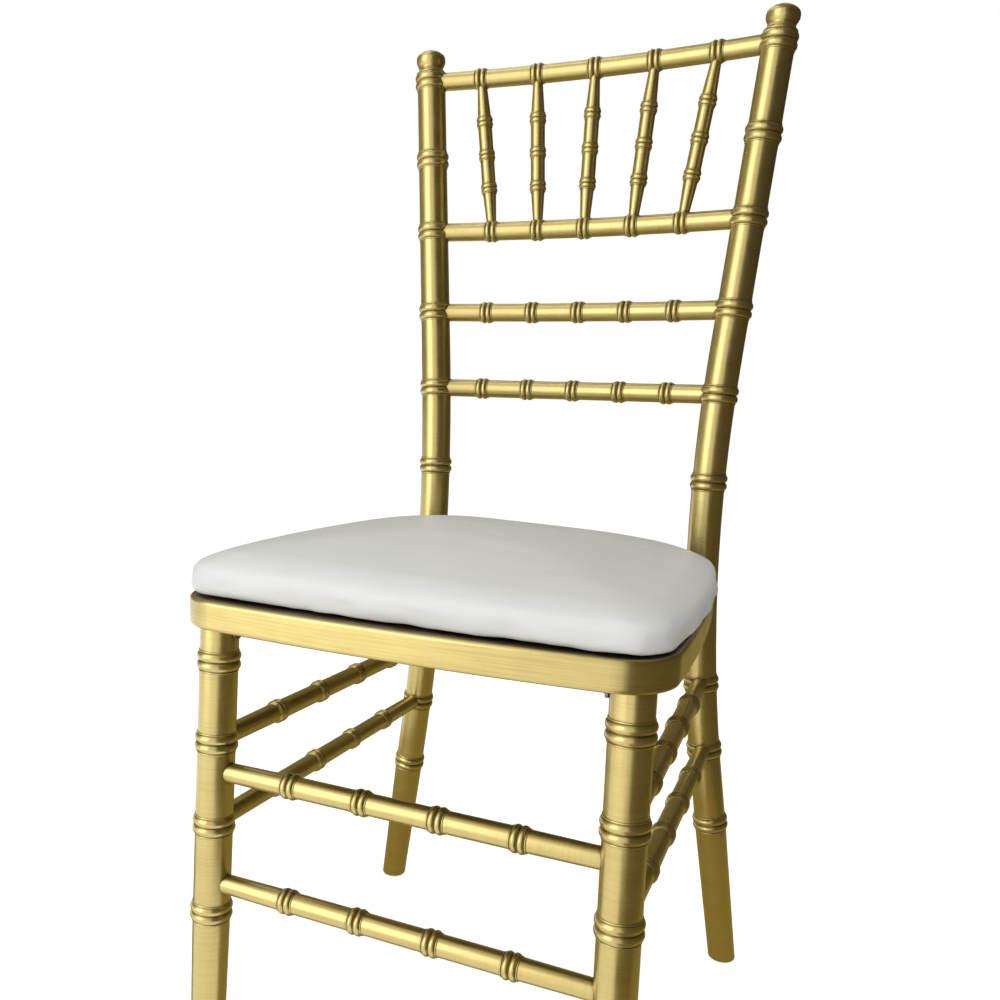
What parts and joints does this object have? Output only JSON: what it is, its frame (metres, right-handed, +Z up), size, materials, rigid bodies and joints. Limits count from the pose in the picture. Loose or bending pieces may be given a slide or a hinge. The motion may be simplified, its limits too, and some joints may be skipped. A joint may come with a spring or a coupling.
{
  "type": "chiavari chair",
  "caption": "Slender turned wooden banquet chair with fanned back spindles, ringed legs and stretchers, and a loose crowned seat cushion.",
  "frame": {"origin": "on the floor, midway between the four feet and under the middle of the chair's box", "axes": "+Z up, -Y towards the front of the seat, +X towards the right-hand post of a viewer who stands in front"},
  "size_m": [0.4124, 0.4274, 0.9104],
  "materials": {
    "gold_painted_wood": "metallic gold paint on turned beech",
    "bare_wood": "unpainted beech",
    "plywood": "sanded plywood",
    "steel": "zinc plated",
    "ivory_vinyl": "satin vinyl",
    "bottom_cloth": "thin black cloth",
    "foam": "soft foam",
    "hook_and_loop_tape": "woven tape",
    "nylon": "moulded"
  },
  "bodies": {
    "chair": {"barrel_nuts": "steel", "board_screws": "steel", "bracket_screws": "steel", "corner_block_front_left": "bare_wood", "corner_block_front_right": "bare_wood", "corner_block_rear_left": "bare_wood", "corner_block_rear_right": "bare_wood", "floor_glides": "nylon", "frame_dowels": "bare_wood", "front_leg_left": "gold_painted_wood", "front_leg_right": "gold_painted_wood", "front_stretcher_lower": "gold_painted_wood", "front_stretcher_upper": "gold_painted_wood", "glide_nails": "steel", "hook_tabs": "hook_and_loop_tape", "leg_bracket_left": "steel", "leg_bracket_right": "steel", "lower_back_rail": "gold_painted_wood", "post_bolts": "steel", "rear_post_left": "gold_painted_wood", "rear_post_right": "gold_painted_wood", "rear_stretcher": "gold_painted_wood", "seat_board": "plywood", "seat_front_rail": "gold_painted_wood", "seat_rear_rail": "gold_painted_wood", "seat_side_rail_left": "gold_painted_wood", "seat_side_rail_right": "gold_painted_wood", "side_stretcher_lower_left": "gold_painted_wood", "side_stretcher_lower_right": "gold_painted_wood", "side_stretcher_upper_left": "gold_painted_wood", "side_stretcher_upper_right": "gold_painted_wood", "spindle_1": "gold_painted_wood", "spindle_2": "gold_painted_wood", "spindle_3": "gold_painted_wood", "spindle_4": "gold_painted_wood", "spindle_5": "gold_painted_wood", "spindle_rail": "gold_painted_wood", "top_rail": "gold_painted_wood", "upper_back_rail": "gold_painted_wood"},
    "cushion": {"cushion_cover": "ivory_vinyl", "cushion_foam": "foam", "cushion_board": "plywood", "cushion_bottom_cloth": "bottom_cloth", "loop_tabs": "hook_and_loop_tape"}
  },
  "joints": [
    {"name": "cushion_lift", "type": "slide", "parent": "chair", "child": "cushion", "axis": [0, 0, 1], "range_m": [0, 0.1]}
  ]
}
